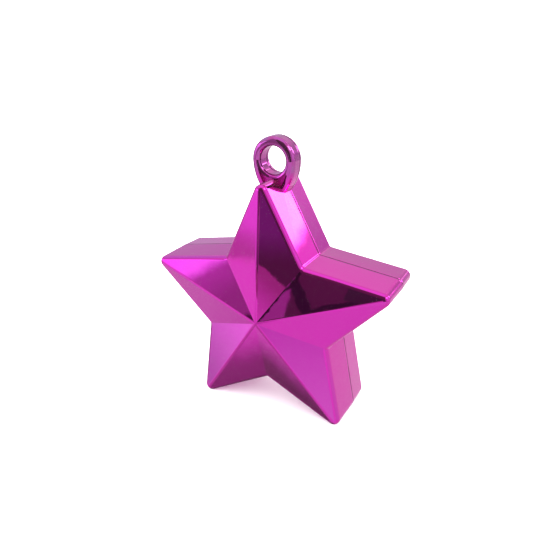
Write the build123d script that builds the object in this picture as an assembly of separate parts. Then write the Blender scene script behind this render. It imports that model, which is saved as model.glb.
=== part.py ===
from build123d import *

import os
from math import acos, atan, atan2, cos, degrees, hypot, pi, radians, sin, tan

# A star-shaped balloon weight: two thin moulded shells with faceted faces, glued at a seam, filled
# with mortar, and a hanging eyelet at the top of which each shell carries one half.
# Lengths are in millimetres and angles in degrees unless a name says otherwise.

# Star
spike_count = 5
tip_radius = 50.0
notch_radius = 25.2
front_wall_depth = 13.9
rear_wall_depth = 10.6
facet_rise = 6.6
draft_angle = 1.1
tip_rounding = 2.7
notch_rounding = 1.0
ridge_rounding = 2.4
rim_rounding = 1.9
foot_trim = 0.5

# Shell wall and the lap joint at the seam
wall = 1.8
point_blunting = 0.4
least_inner_rounding = 0.5
seam_gap = 0.2
lip_wall_share = 0.5
lip_height = 1.2
lip_clearance = 0.1
glue_line = 0.2

# Hanging eyelet
hole_radius = 4.65
hole_floor = 1.15
eyelet_band = 3.16
eyelet_side_radius = 17.0
front_eyelet_depth = 5.0
rear_eyelet_depth = 2.35
eyelet_rounding_share = 0.54
hole_rounding_share = 0.42
rounding_limit_share = 0.8
pocket_rim = 2.2
pocket_depth_share = 0.24
pocket_top_share = 0.55
glue_setback = 0.5

# Mortar fill
fill_gap = 0.15
fill_setback = 0.6

# The rim's edges lie between these shares of the wall depth and of the facet rise
rim_low_share = 0.75
rim_high_share = 0.3

# One overrun serves all cuts
overrun = 2.0

# Star outline: a sharp point, an inner corner and the straight edge between them
half_turn = pi / spike_count
half_tip_angle = atan2(notch_radius * sin(half_turn), tip_radius - notch_radius * cos(half_turn))
edge_distance = tip_radius * sin(half_tip_angle)
tip_arc_centre = tip_radius - tip_rounding / sin(half_tip_angle)
tip_top = tip_arc_centre + tip_rounding
tip_angles = [pi / 2 + 2 * index * half_turn for index in range(spike_count)]
lowest_tip_share = max(-sin(angle) for angle in tip_angles)

# Places of the seam and of the star's centre above the ground
star_height = tip_arc_centre * lowest_tip_share + tip_rounding - foot_trim
seam_offset = (front_wall_depth - rear_wall_depth) / 2
draft_slope = tan(radians(draft_angle))
cut_width = 2 * (tip_radius + overrun)

# Lap joint
lip_inset = wall * (1 - lip_wall_share)
rebate_inset = lip_inset - lip_clearance
rebate_depth = lip_height + glue_line

# Eyelet
eyelet_height = tip_top + hole_floor + hole_radius
eyelet_radius = hole_radius + eyelet_band
pocket_top = eyelet_height - hole_radius * pocket_top_share

# Each half is made lying on its seam, outside upwards, with the star's top along +Y
seam_centre = (0, seam_offset, star_height)
front_place = Plane(origin=seam_centre, x_dir=(1, 0, 0), z_dir=(0, -1, 0))
rear_place = Plane(origin=seam_centre, x_dir=(-1, 0, 0), z_dir=(0, 1, 0))


def patterned(spike):
    """Copies of a spike that lies along +X, one to each point of the star."""
    return Part() + [Rot(0, 0, degrees(angle)) * spike for angle in tip_angles]


def sector(start, end):
    """The share of the space round the middle that one spike takes, between two heights."""
    side = cut_width * tan(half_turn)
    face = make_face(Polyline((0, 0), (cut_width, -side), (cut_width, side), close=True))
    return Pos(0, 0, start) * extrude(face, end - start)


def star_outline():
    """Flat star at the seam with rounded points and rounded inner corners."""
    points = []
    for tip_angle in tip_angles:
        notch_angle = tip_angle + half_turn
        for radius, angle in ((tip_radius, tip_angle), (notch_radius, notch_angle)):
            points.append((radius * cos(angle), radius * sin(angle)))
    face = make_face(Polyline(*points, close=True))
    middle_radius = (tip_radius + notch_radius) / 2
    tips = [corner for corner in face.vertices() if Vector(corner).length > middle_radius]
    face = fillet(tips, tip_rounding)
    notches = [corner for corner in face.vertices() if Vector(corner).length < middle_radius]
    return fillet(notches, notch_rounding)


def inner_rounding(outer_rounding, inset):
    """Rounding of a corner that keeps the wall even at an inset."""
    return max(outer_rounding - inset, least_inner_rounding)


def blunt_wedge(inset):
    """One spike inside the wall, with its point cut flat and its sides run on past the middle."""
    point = (edge_distance - inset) / sin(half_tip_angle)
    flat = tip_top - inset - point_blunting
    half_flat = (point - flat) * tan(half_tip_angle)
    half_base = (point + overrun) * tan(half_tip_angle)
    corners = [(flat, half_flat), (-overrun, half_base), (-overrun, -half_base), (flat, -half_flat)]
    return make_face(Polyline(*corners, close=True))


def inner_star(inset, start, end, lean=0):
    """Star inside the wall between two heights, with straight walls or walls that lean inwards."""
    wedge = blunt_wedge(inset + start * tan(radians(lean)))
    spike = Pos(0, 0, start) * extrude(wedge, end - start, taper=lean)
    return patterned(spike & sector(start, end))


def faceted_roof(wall_depth, inset, start):
    """A rounded gable along each spike, cut to its sector and patterned round the middle."""
    facet_slope = facet_rise / (edge_distance - wall_depth * draft_slope)
    apex_height = wall_depth + facet_rise - inset * hypot(1, facet_slope)
    ridge_angle = atan(facet_slope * sin(half_tip_angle))
    eave_drop = cut_width * facet_slope * cos(half_tip_angle) * cos(ridge_angle)
    eave_left = (-cut_width, -eave_drop)
    eave_right = (cut_width, -eave_drop)
    base_right = (cut_width, -eave_drop - cut_width)
    base_left = (-cut_width, -eave_drop - cut_width)
    gable = make_face(Polyline((0, 0), eave_right, base_right, base_left, eave_left, close=True))
    ridge_point = gable.vertices().sort_by(Axis.Y)[-1]
    gable = fillet(ridge_point, inner_rounding(ridge_rounding, inset))
    ridge_direction = (cos(ridge_angle), 0, -sin(ridge_angle))
    ridge = Plane(origin=(0, 0, apex_height), x_dir=(0, 1, 0), z_dir=ridge_direction)
    return patterned(extrude(ridge * gable, cut_width, both=True) & sector(start, apex_height))


def outer_half(wall_depth):
    """Outside of one half, rounded where the facets meet the side walls."""
    walls = extrude(star_outline(), wall_depth + facet_rise, taper=draft_angle)
    half = walls & faceted_roof(wall_depth, 0, 0)
    low = wall_depth * rim_low_share
    high = wall_depth + facet_rise * rim_high_share
    rim = [edge for edge in half.edges() if low < edge.center().Z < high]
    return fillet(rim, rim_rounding)


def inner_half(wall_depth, inset, start):
    """Space inside one half from a height, every face moved inwards by the inset."""
    walls = inner_star(inset, start, wall_depth + facet_rise, draft_angle)
    return walls & faceted_roof(wall_depth, inset, start)


def layer(height):
    """Slab over the whole seam, the eyelet included."""
    return extrude(Rectangle(2 * cut_width, 2 * cut_width), height)


def eyelet_face(inset):
    """Teardrop: a half circle over the hole whose sides draw in to a point inside the spike."""
    radius = eyelet_radius - inset
    side_radius = eyelet_side_radius - inset
    side_centre = eyelet_radius - eyelet_side_radius
    side_turn = acos(-side_centre / side_radius)
    point = (0, eyelet_height - side_radius * sin(side_turn))
    bulge = side_centre + side_radius * cos(side_turn / 2)
    bulge_level = eyelet_height - side_radius * sin(side_turn / 2)
    left = (-radius, eyelet_height)
    right = (radius, eyelet_height)
    arch = ThreePointArc(right, (0, eyelet_height + radius), left)
    left_side = ThreePointArc(left, (-bulge, bulge_level), point)
    right_side = ThreePointArc(point, (bulge, bulge_level), right)
    return make_face([arch, left_side, right_side])


def hole_face(radius):
    """Disc round the middle of the hole."""
    return Pos(0, eyelet_height) * Circle(radius)


def pocket_face():
    """The hollows beside the spike, between the hole's edge and the eyelet's sides."""
    ceiling = Rectangle(cut_width, cut_width, align=(Align.CENTER, Align.MIN))
    return eyelet_face(pocket_rim) - hole_face(hole_radius + hole_floor) - Pos(0, pocket_top) * ceiling


def eyelet_half(depth):
    """Half of the eyelet with its outer edge and its hole rounded and its pockets sunk."""
    ring = extrude(eyelet_face(0) - hole_face(hole_radius), depth)
    rounding_limit = depth * rounding_limit_share
    outline = [edge for edge in ring.edges().group_by(Axis.Z)[-1] if edge.radius > hole_radius]
    ring = fillet(outline, min(eyelet_band * eyelet_rounding_share, rounding_limit))
    hole_edge = ring.edges().group_by(Axis.Z)[-1].sort_by(SortBy.RADIUS)[0]
    ring = fillet(hole_edge, min(eyelet_band * hole_rounding_share, rounding_limit))
    return ring - Pos(0, 0, depth * (1 - pocket_depth_share)) * extrude(pocket_face(), depth)


def foot_cut(wall_depth):
    """Everything below the level that the lower points stand on."""
    depth = wall_depth + facet_rise + lip_height
    block = Box(cut_width, cut_width, depth, align=(Align.CENTER, Align.MAX, Align.MIN))
    return Pos(0, -star_height, -lip_height) * block


def hollow(outside, wall_depth):
    """An even wall and flat feet."""
    return outside - inner_half(wall_depth, wall, -lip_height) - foot_cut(wall_depth)


def moulding(wall_depth, eyelet_depth):
    """Star and eyelet of one half, set back from the seam."""
    return outer_half(wall_depth) + eyelet_half(eyelet_depth) - layer(seam_gap / 2)


def front_shell():
    """Front half, with the lip that enters the rear half."""
    lip = inner_star(lip_inset, -lip_height, seam_gap)
    return hollow(moulding(front_wall_depth, front_eyelet_depth) + lip, front_wall_depth)


def rear_shell():
    """Rear half, rebated for the lip."""
    rebate = inner_star(rebate_inset, 0, rebate_depth)
    return hollow(moulding(rear_wall_depth, rear_eyelet_depth), rear_wall_depth) - rebate


def ballast(wall_depth, level):
    """Mortar cast in a half, shrunk a little from its wall and poured to a level below the seam."""
    return inner_half(wall_depth, wall + fill_gap, 0) - layer(level)


def seam_adhesive():
    """Bead between the end of the lip and the bottom of the rebate."""
    return inner_star(lip_inset, lip_height, rebate_depth) - inner_star(wall, lip_height, rebate_depth)


def eyelet_adhesive():
    """Film between the two halves of the eyelet, down to the edge of the rebate."""
    film = extrude(eyelet_face(glue_setback) - hole_face(hole_radius + glue_setback), seam_gap)
    return Pos(0, 0, -seam_gap / 2) * film - inner_star(rebate_inset, -seam_gap, seam_gap)


nodes = {
    "front_shell": front_place * front_shell(),
    "rear_shell": rear_place * rear_shell(),
    "front_ballast": front_place * ballast(front_wall_depth, fill_setback),
    "rear_ballast": rear_place * ballast(rear_wall_depth, rebate_depth + fill_setback),
    "seam_adhesive": rear_place * seam_adhesive(),
    "eyelet_adhesive": front_place * eyelet_adhesive(),
}

os.makedirs("parts", exist_ok=True)
for name, shape in nodes.items():
    export_step(shape, os.path.join("parts", name + ".step"))
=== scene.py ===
from collections import namedtuple
from math import cos, radians, sin

import bmesh
import bpy
from mathutils import Matrix, Vector

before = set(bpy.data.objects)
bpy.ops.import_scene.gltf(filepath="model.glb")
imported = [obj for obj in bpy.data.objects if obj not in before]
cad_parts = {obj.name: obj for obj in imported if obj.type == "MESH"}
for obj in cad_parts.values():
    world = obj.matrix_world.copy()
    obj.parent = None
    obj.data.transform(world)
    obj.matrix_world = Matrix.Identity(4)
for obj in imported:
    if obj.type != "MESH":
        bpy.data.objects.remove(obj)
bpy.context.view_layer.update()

# A metallised star-shaped balloon weight on a white table. Lengths are in metres and angles in degrees.
# Azimuths are measured from the front, -Y, towards the left, -X.

# Camera
camera_place = (0.08871, -0.16488, 0.12594)
camera_azimuth = -28.29
camera_elevation = 22.93
camera_roll = -1.68
camera_lens = 36.2
camera_sensor = 36.0
camera_near = 0.01
camera_far = 10.0

# Table
table_front = -1.0
table_back = 3.0
table_left = -3.0
table_right = 3.0
table_colours = ((0.96, 0.96, 0.96, 1.0), (0.95, 0.95, 0.95, 1.0))
table_grain_size = 0.003
table_roughness = 0.9

# What the mirror finish reflects: a pale room, with panels laid over it in this order.
# Each panel has its middle, its half sizes, the softness of its edges, its roll and its colour, or the
# colours of its lower and upper edges.
Panel = namedtuple(
    "Panel", "azimuth elevation half_width half_height softness roll low high", defaults=(None,)
)
half_circle = 180.0
all_round = 400.0
room_colour = (0.66, 0.64, 0.66, 1.0)
studio_panels = {
    "ceiling": Panel(0, 66, all_round, 40, 5, 0, (1.0, 0.95, 0.93)),
    "zenith": Panel(0, 90, all_round, 24, 3, 0, (1.15, 1.25, 1.3)),
    "left of the ceiling": Panel(92, 38, 36, 9, 3, 0, (0.75, 1.5, 1.05)),
    "left rear wall": Panel(141, 6, 14, 12, 4, 0, (0.6, 0.48, 0.64), (0.61, 0.5, 0.66)),
    "table": Panel(0, -55, all_round, 45, 0.4, 0, (0.8, 0.78, 0.74), (0.92, 0.89, 0.86)),
    "right side of the table": Panel(-75, -23, 46, 6, 3, 0, (0.84, 1.3, 0.95)),
    "front of the table": Panel(30, -44, 75, 34, 0.6, 0, (0.84, 0.86, 0.9), (1.0, 1.02, 1.08)),
    "grey wall": Panel(8, 20, 32, 30, 0.5, 0, (0.38, 0.36, 0.4), (0.44, 0.42, 0.48)),
    "dark corner": Panel(-9, 26.7, 29.4, 36.2, 0.15, 0, (0.1, 0.11, 0.09), (0.18, 0.2, 0.14)),
    "left end of the paper": Panel(20, -9, 13, 1.4, 0.15, 0, (0.45, 0.36, 0.36), (0.42, 0.33, 0.33)),
    "paper": Panel(4.5, -6.0, 8, 2.5, 0.12, 41, (0.8, 0.8, 0.84), (0.42, 0.37, 0.36)),
    "pale patch": Panel(-1.5, -1.6, 3.2, 3.2, 2.0, 0, (0.2, 0.18, 0.26)),
    "dark stand": Panel(19.25, 6.1, 0.55, 2.0, 0.1, -33, (0.04, 0.04, 0.045)),
    "dark shelf": Panel(15.2, 6.1, 3.6, 0.25, 0.08, -22, (0.04, 0.045, 0.045)),
    "dark case": Panel(12.0, 7.2, 2.7, 0.7, 0.1, 8, (0.06, 0.12, 0.065)),
    "end of the grey wall": Panel(31.6, 0.2, 2.2, 1.9, 0.3, 0, (0.08, 0.07, 0.08)),
    "dark post": Panel(21.3, 5.8, 0.16, 4.0, 0.06, 30, (0.03, 0.03, 0.03)),
    "glow by the left light": Panel(47, 8, 9.6, 12, 2, 45, (0.6, 0.57, 0.7)),
    "corner of the left light": Panel(47, 8, 7.6, 10, 0.8, 45, (1.5, 2.2, 2.1)),
    "left light": Panel(62, 6.1, 20, 12.4, 1.6, 15, (1.05, 1.0, 1.25), (2.2, 2.1, 2.8)),
    "right wall": Panel(-95, 18, 30, 22, 8, 0, (1.05, 1.1, 1.2)),
    "right light": Panel(-82, 43, 9, 9, 2, 0, (10.0, 10.0, 10.0)),
    "wall beside the back light": Panel(-155, 8, 5.5, 5, 1.2, 0, (0.62, 0.38, 0.66), (0.9, 0.74, 0.96)),
    "glow under the back light": Panel(-144.5, 7, 6, 6, 1.5, 0, (1.0, 0.6, 1.0), (1.25, 0.8, 1.25)),
    "back light": Panel(-143.7, 21.4, 4.3, 12.4, 1.0, -13, (7.0, 7.0, 7.0), (8.0, 8.0, 8.0)),
    "upper back light": Panel(-167, 33.5, 6, 2.8, 1, 0, (4.5, 4.5, 4.5)),
    "lower back light": Panel(-166, 10, 6, 7, 1.5, 0, (2.3, 2.3, 2.3)),
    "shade on the table": Panel(28, -24, 13, 9, 5, 0, (0.42, 0.38, 0.42)),
    "right of the table": Panel(-8, -26, 9, 8, 3, 0, (0.92, 2.0, 1.15), (0.7, 0.75, 0.84)),
    "left of the table": Panel(65.5, -26, 6, 4, 1, 57, (0.6, 1.0, 0.78), (1.15, 2.2, 1.5)),
    "left end of the table": Panel(95, -18, 24, 11, 3, 0, (0.45, 0.42, 0.5)),
    "far left of the table": Panel(73, -38.5, 7, 6, 2.5, 0, (0.72, 0.85, 0.78), (0.78, 1.35, 0.84)),
    "shade before the star": Panel(38, -40, 23, 7.5, 3, 0, (0.62, 0.58, 0.62), (0.72, 0.68, 0.72)),
    "shade near the feet": Panel(47, -50, 13, 6, 2, 0, (0.55, 0.5, 0.55)),
    "shade between the feet": Panel(66.7, -54.5, 3.9, 8, 2.2, -30, (0.15, 0.14, 0.135), (0.24, 0.21, 0.22)),
    "shade by the left foot": Panel(35, -58.5, 8, 4.2, 2, 6, (0.2, 0.18, 0.17), (0.34, 0.31, 0.33)),
    "shade behind the feet": Panel(125, -55, 40, 10, 5, 0, (0.25, 0.22, 0.24)),
    "shade under the star": Panel(90, -80, 75, 17, 3, 0, (0.18, 0.16, 0.17)),
}
wobble_size = 0.02
wobble_angle = 0.8
plain_colour = (1.0, 1.0, 1.0, 1.0)
plain_light = 3.0

# How many finer layers a noise has
single_detail = 1.0
soft_detail = 2.0
uneven_detail = 3.0
grainy_detail = 4.0
fine_detail = 5.0
noise_middle = 0.5

# Metal layer and lacquer of the shells
shell_colour = (0.72, 0.032, 0.475, 1.0)
shell_deep_colour = (0.67, 0.027, 0.435, 1.0)
shell_edge_colour = (1.0, 0.85, 1.0, 1.0)
tint_size = 0.02
haze = 0.03
clean_share = 0.3
smeared_share = 0.8
clean_roughness = 0.012
smeared_roughness = 0.035
front_coat = 0.25
rear_coat = 0.75
coat_roughness = 0.02
coat_index = 1.36
ripple_size = 0.007
ripple_height = 0.000006
peel_size = 0.0012
peel_height = 0.0000002

# Painted shade on the eyelet: a darker, greyer metal colour from this height up, standing in for the darker
# reflections the ring shows; and the stippled floors of its front pockets
eyelet_painted_shade_colour = (0.48, 0.075, 0.37, 1.0)
eyelet_painted_shade_start = 0.0835
eyelet_painted_shade_end = 0.0875
pocket_floor = -0.00215
pocket_floor_reach = 0.0002
pocket_bottom = 0.0795
pocket_fade = 0.0005
pocket_dullness = 0.45
stipple_size = 0.0006
stipple_height = 0.00012

# Wear along the seam, and specks where the metal is missing
worn_colour = (0.045, 0.004, 0.03, 1.0)
worn_roughness = 0.4
seam_place = 0.00165
seam_half_width = 0.00019
seam_variation = 0.0003
seam_wear_size = 0.004
seam_softness = 0.00003
seam_edge_width = 0.0007
seam_edge_drop = 0.00006
speck_spacing = 0.011
speck_radius_share = 0.016
speck_softness_share = 0.006
speck_share = 0.25

# Fill and glue
mortar_colours = ((0.3, 0.29, 0.27, 1.0), (0.6, 0.58, 0.54, 1.0))
mortar_grain_size = 0.0009
mortar_roughness = 0.9
cement_colours = ((0.5, 0.42, 0.28, 1.0), (0.75, 0.68, 0.5, 1.0))
cement_cloud_size = 0.004
cement_roughness = 0.25


def add_node(tree, kind, **settings):
    """New node with its own properties set."""
    node = tree.nodes.new(kind)
    for name, value in settings.items():
        setattr(node, name, value)
    return node


def feed(tree, socket, value):
    """Links another node's output to a socket, or sets the socket's own value."""
    if isinstance(value, bpy.types.NodeSocket):
        tree.links.new(value, socket)
    else:
        socket.default_value = value


def calculate(tree, operation, *values):
    """Result of a Math node."""
    node = add_node(tree, "ShaderNodeMath", operation=operation)
    for socket, value in zip(node.inputs, values):
        feed(tree, socket, value)
    return node.outputs["Value"]


def mix_colours(tree, share, first, second):
    """Blend of two colours."""
    node = add_node(tree, "ShaderNodeMix", data_type="RGBA")
    for name, value in (("Factor_Float", share), ("A_Color", first), ("B_Color", second)):
        socket = next(item for item in node.inputs if item.identifier == name)
        feed(tree, socket, value)
    return next(item for item in node.outputs if item.identifier == "Result_Color")


def smooth_range(tree, value, low, high, start=0.0, end=1.0):
    """Soft step from one value to another."""
    node = add_node(tree, "ShaderNodeMapRange", interpolation_type="SMOOTHSTEP")
    feed(tree, node.inputs["Value"], value)
    feed(tree, node.inputs["From Min"], low)
    feed(tree, node.inputs["From Max"], high)
    feed(tree, node.inputs["To Min"], start)
    feed(tree, node.inputs["To Max"], end)
    return node.outputs["Result"]


def noise(tree, place, size, detail, result="Fac"):
    """Noise between 0 and 1 whose largest features have a size."""
    node = add_node(tree, "ShaderNodeTexNoise")
    feed(tree, node.inputs["Vector"], place)
    feed(tree, node.inputs["Scale"], 1 / size)
    feed(tree, node.inputs["Detail"], detail)
    return node.outputs[result]


def add_panel(tree, azimuth, elevation, panel, colour):
    """Lays one panel over the colours so far."""
    offset = calculate(tree, "SUBTRACT", azimuth, panel.azimuth)
    offset = calculate(tree, "WRAP", offset, half_circle, -half_circle)
    rise = calculate(tree, "SUBTRACT", elevation, panel.elevation)
    turn = radians(panel.roll)
    across = calculate(tree, "MULTIPLY", offset, cos(turn))
    across = calculate(tree, "MULTIPLY_ADD", rise, sin(turn), across)
    along = calculate(tree, "MULTIPLY", offset, -sin(turn))
    along = calculate(tree, "MULTIPLY_ADD", rise, cos(turn), along)
    mask = 1.0
    for distance, half_size in ((across, panel.half_width), (along, panel.half_height)):
        inner = half_size - panel.softness
        outer = half_size + panel.softness
        edge = smooth_range(tree, calculate(tree, "ABSOLUTE", distance), inner, outer, 1.0, 0.0)
        mask = calculate(tree, "MULTIPLY", mask, edge)
    share = smooth_range(tree, along, -panel.half_height, panel.half_height)
    high = panel.high or panel.low
    own_colour = mix_colours(tree, share, (*panel.low, 1.0), (*high, 1.0))
    return mix_colours(tree, mask, colour, own_colour)


def room_colours(tree):
    """Colour of the room in each direction, a little wavy like the reflections in moulded plastic."""
    direction = add_node(tree, "ShaderNodeTexCoord").outputs["Generated"]
    parts = add_node(tree, "ShaderNodeSeparateXYZ")
    feed(tree, parts.inputs["Vector"], direction)
    leftward = calculate(tree, "MULTIPLY", parts.outputs["X"], -1.0)
    forward = calculate(tree, "MULTIPLY", parts.outputs["Y"], -1.0)
    azimuth = calculate(tree, "DEGREES", calculate(tree, "ARCTAN2", leftward, forward))
    elevation = calculate(tree, "DEGREES", calculate(tree, "ARCSINE", parts.outputs["Z"]))
    waves = add_node(tree, "ShaderNodeSeparateColor")
    feed(tree, waves.inputs["Color"], noise(tree, direction, wobble_size, soft_detail, "Color"))
    azimuth = calculate(tree, "MULTIPLY_ADD", waves.outputs["Red"], wobble_angle, azimuth)
    elevation = calculate(tree, "MULTIPLY_ADD", waves.outputs["Green"], wobble_angle, elevation)
    colour = room_colour
    for panel in studio_panels.values():
        colour = add_panel(tree, azimuth, elevation, panel, colour)
    return colour


def studio_world():
    """Plain white light on matt surfaces, and the room's panels in mirror reflections."""
    world = bpy.data.worlds.new("studio")
    bpy.context.scene.world = world
    world.use_nodes = True
    tree = world.node_tree
    tree.nodes.clear()
    room = add_node(tree, "ShaderNodeBackground")
    feed(tree, room.inputs["Color"], room_colours(tree))
    plain = add_node(tree, "ShaderNodeBackground")
    feed(tree, plain.inputs["Color"], plain_colour)
    feed(tree, plain.inputs["Strength"], plain_light)
    rays = add_node(tree, "ShaderNodeLightPath")
    choice = add_node(tree, "ShaderNodeMixShader")
    sources = (rays.outputs["Is Glossy Ray"], plain.outputs["Background"], room.outputs["Background"])
    for socket, source in zip(choice.inputs, sources):
        feed(tree, socket, source)
    output = add_node(tree, "ShaderNodeOutputWorld")
    feed(tree, output.inputs["Surface"], choice.outputs["Shader"])


def new_material(name):
    """Material with one Principled shader; returns it with its tree, shader and place on the object."""
    material = bpy.data.materials.new(name)
    material.use_nodes = True
    tree = material.node_tree
    tree.nodes.clear()
    shader = add_node(tree, "ShaderNodeBsdfPrincipled")
    output = add_node(tree, "ShaderNodeOutputMaterial")
    feed(tree, output.inputs["Surface"], shader.outputs["BSDF"])
    place = add_node(tree, "ShaderNodeTexCoord").outputs["Object"]
    return material, tree, shader, place


def seam_wear(tree, place, seam_distance):
    """Worn line along the seam, uneven in width: 1 on it and 0 elsewhere."""
    unevenness = noise(tree, place, seam_wear_size, uneven_detail)
    unevenness = calculate(tree, "SUBTRACT", unevenness, noise_middle)
    half_width = calculate(tree, "MULTIPLY_ADD", unevenness, seam_variation, seam_half_width)
    depth = calculate(tree, "SUBTRACT", seam_distance, half_width)
    return smooth_range(tree, depth, -seam_softness, seam_softness, 1.0, 0.0)


def specks(tree, place):
    """Pinholes in the metal layer: 1 on them and 0 elsewhere."""
    cells = add_node(tree, "ShaderNodeTexVoronoi")
    feed(tree, cells.inputs["Vector"], place)
    feed(tree, cells.inputs["Scale"], 1 / speck_spacing)
    speck_edge = speck_radius_share + speck_softness_share
    spot = smooth_range(tree, cells.outputs["Distance"], speck_radius_share, speck_edge, 1.0, 0.0)
    chosen = calculate(tree, "LESS_THAN", cells.outputs["Color"], speck_share)
    return calculate(tree, "MULTIPLY", spot, chosen)


def pocket_floors(tree, parts):
    """Floors of the eyelet's front pockets: 1 on them and 0 elsewhere."""
    offset = calculate(tree, "SUBTRACT", parts.outputs["Y"], pocket_floor)
    distance = calculate(tree, "ABSOLUTE", offset)
    near_floor = smooth_range(tree, distance, 0.0, pocket_floor_reach, 1.0, 0.0)
    high_up = smooth_range(tree, parts.outputs["Z"], pocket_bottom, pocket_bottom + pocket_fade)
    return calculate(tree, "MULTIPLY", near_floor, high_up)


def relief_normal(tree, relief):
    """Normal bent by one relief after another."""
    normal = None
    for height, distance in relief:
        bump = add_node(tree, "ShaderNodeBump")
        feed(tree, bump.inputs["Height"], height)
        feed(tree, bump.inputs["Distance"], distance)
        if normal:
            feed(tree, bump.inputs["Normal"], normal)
        normal = bump.outputs["Normal"]
    return normal


def metallised_plastic(name, coat):
    """Mirror-bright magenta metal layer under clear lacquer, worn along the seam and at a few specks, with
    painted shade on the eyelet.
    """
    material, tree, shader, place = new_material(name)
    parts = add_node(tree, "ShaderNodeSeparateXYZ")
    feed(tree, parts.inputs["Vector"], place)
    from_seam = calculate(tree, "SUBTRACT", parts.outputs["Y"], seam_place)
    seam_distance = calculate(tree, "ABSOLUTE", from_seam)
    worn = calculate(tree, "MAXIMUM", seam_wear(tree, place, seam_distance), specks(tree, place))
    on_floor = pocket_floors(tree, parts)

    tint = noise(tree, place, tint_size, soft_detail)
    colour = mix_colours(tree, tint, shell_colour, shell_deep_colour)
    # Painted shade: the eyelet at the top of the star is darkened and greyed, standing in for the darker
    # reflections it shows.
    painted_eyelet_shade = smooth_range(tree, parts.outputs["Z"], eyelet_painted_shade_start, eyelet_painted_shade_end)
    colour = mix_colours(tree, painted_eyelet_shade, colour, eyelet_painted_shade_colour)
    feed(tree, shader.inputs["Base Color"], mix_colours(tree, worn, colour, worn_colour))

    smear = noise(tree, place, tint_size, fine_detail)
    polish = smooth_range(tree, smear, clean_share, smeared_share, clean_roughness, smeared_roughness)
    polish = calculate(tree, "MULTIPLY_ADD", on_floor, pocket_dullness, polish)
    feed(tree, shader.inputs["Roughness"], calculate(tree, "MULTIPLY_ADD", worn, worn_roughness, polish))
    feed(tree, shader.inputs["Metallic"], 1.0)
    feed(tree, shader.inputs["Specular Tint"], shell_edge_colour)
    feed(tree, shader.inputs["Sheen Weight"], haze)
    feed(tree, shader.inputs["Coat Weight"], smooth_range(tree, worn, 0.0, 1.0, coat, 0.0))
    feed(tree, shader.inputs["Coat Roughness"], coat_roughness)
    feed(tree, shader.inputs["Coat IOR"], coat_index)

    stipple = calculate(tree, "MULTIPLY", noise(tree, place, stipple_size, single_detail), on_floor)
    relief = (
        (noise(tree, place, ripple_size, single_detail), ripple_height),
        (noise(tree, place, peel_size, single_detail), peel_height),
        (smooth_range(tree, seam_distance, 0.0, seam_edge_width), seam_edge_drop),
        (stipple, stipple_height),
    )
    feed(tree, shader.inputs["Normal"], relief_normal(tree, relief))
    return material


def clouded(name, colours, size, detail, roughness):
    """Material whose colour drifts between two; returns it with its shader."""
    material, tree, shader, place = new_material(name)
    cloud = noise(tree, place, size, detail)
    feed(tree, shader.inputs["Base Color"], mix_colours(tree, cloud, *colours))
    feed(tree, shader.inputs["Roughness"], roughness)
    return material, shader


def mortar():
    """Grey cast mortar with sand grains."""
    return clouded("mortar", mortar_colours, mortar_grain_size, grainy_detail, mortar_roughness)[0]


def cement():
    """Cured amber solvent cement."""
    return clouded("cement", cement_colours, cement_cloud_size, soft_detail, cement_roughness)[0]


def white_card():
    """Matt white table covering without any shine."""
    name = "white_card"
    material, shader = clouded(name, table_colours, table_grain_size, soft_detail, table_roughness)
    shader.inputs["Specular IOR Level"].default_value = 0.0
    return material


def table():
    """Flat table top, left out of the mirror reflections, where the room has its own table."""
    shape = bmesh.new()
    corners = (
        (table_left, table_front),
        (table_right, table_front),
        (table_right, table_back),
        (table_left, table_back),
    )
    shape.faces.new([shape.verts.new((x, y, 0)) for x, y in corners])
    mesh = bpy.data.meshes.new("table")
    shape.to_mesh(mesh)
    shape.free()
    mesh.materials.append(white_card())
    top = bpy.data.objects.new("table", mesh)
    bpy.context.scene.collection.objects.link(top)
    top.visible_glossy = False


def camera():
    """Camera at the photograph's place."""
    lens = bpy.data.cameras.new("camera")
    lens.lens = camera_lens
    lens.sensor_width = camera_sensor
    lens.clip_start = camera_near
    lens.clip_end = camera_far
    eye = bpy.data.objects.new("camera", lens)
    bpy.context.scene.collection.objects.link(eye)
    azimuth = radians(camera_azimuth)
    elevation = radians(camera_elevation)
    back = Vector((-sin(azimuth) * cos(elevation), -cos(azimuth) * cos(elevation), sin(elevation)))
    level = (-back).to_track_quat("-Z", "Y")
    eye.rotation_mode = "QUATERNION"
    eye.rotation_quaternion = level @ Matrix.Rotation(radians(camera_roll), 3, "Z").to_quaternion()
    eye.location = camera_place
    bpy.context.scene.camera = eye


fill = mortar()
glue = cement()
materials = {
    "front_shell": metallised_plastic("front_metallising", front_coat),
    "rear_shell": metallised_plastic("rear_metallising", rear_coat),
    "front_ballast": fill,
    "rear_ballast": fill,
    "seam_adhesive": glue,
    "eyelet_adhesive": glue,
}
for name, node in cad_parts.items():
    node.data.materials.clear()
    node.data.materials.append(materials[name])

table()
studio_world()
camera()
bpy.context.scene.view_settings.view_transform = "Standard"
